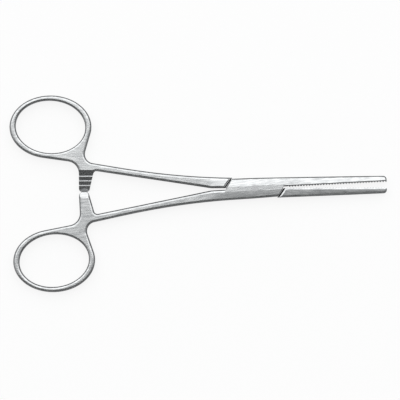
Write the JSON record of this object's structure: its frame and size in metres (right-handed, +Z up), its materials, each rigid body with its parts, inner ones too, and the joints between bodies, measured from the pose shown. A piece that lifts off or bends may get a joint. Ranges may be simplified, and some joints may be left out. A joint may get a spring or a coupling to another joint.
{
  "type": "hemostat forceps",
  "caption": "Straight locking forceps with finger rings, a stepped ratchet, a box lock joint and cross-serrated jaws for clamping vessels or tissue.",
  "frame": {"origin": "on the hinge axis, at the underside of the box lock that rests on a table", "axes": "+X from the hinge to the jaw tips along the instrument, +Y toward the finger ring of the tenon arm, +Z up, out of the upper cheek"},
  "size_m": [0.139, 0.0728, 0.0042],
  "materials": {
    "satin_steel": "satin",
    "pin_steel": "satin"
  },
  "bodies": {
    "box_arm": {"box_arm": "satin_steel", "hinge_pin": "pin_steel"},
    "tenon_arm": {"tenon_arm": "satin_steel"}
  },
  "joints": [
    {"name": "box_lock_hinge", "type": "hinge", "parent": "box_arm", "child": "tenon_arm", "pos_m": [0, 0, 0.0021], "axis": [0, 0, -1], "range_deg": [-2.75, 57.25]}
  ]
}
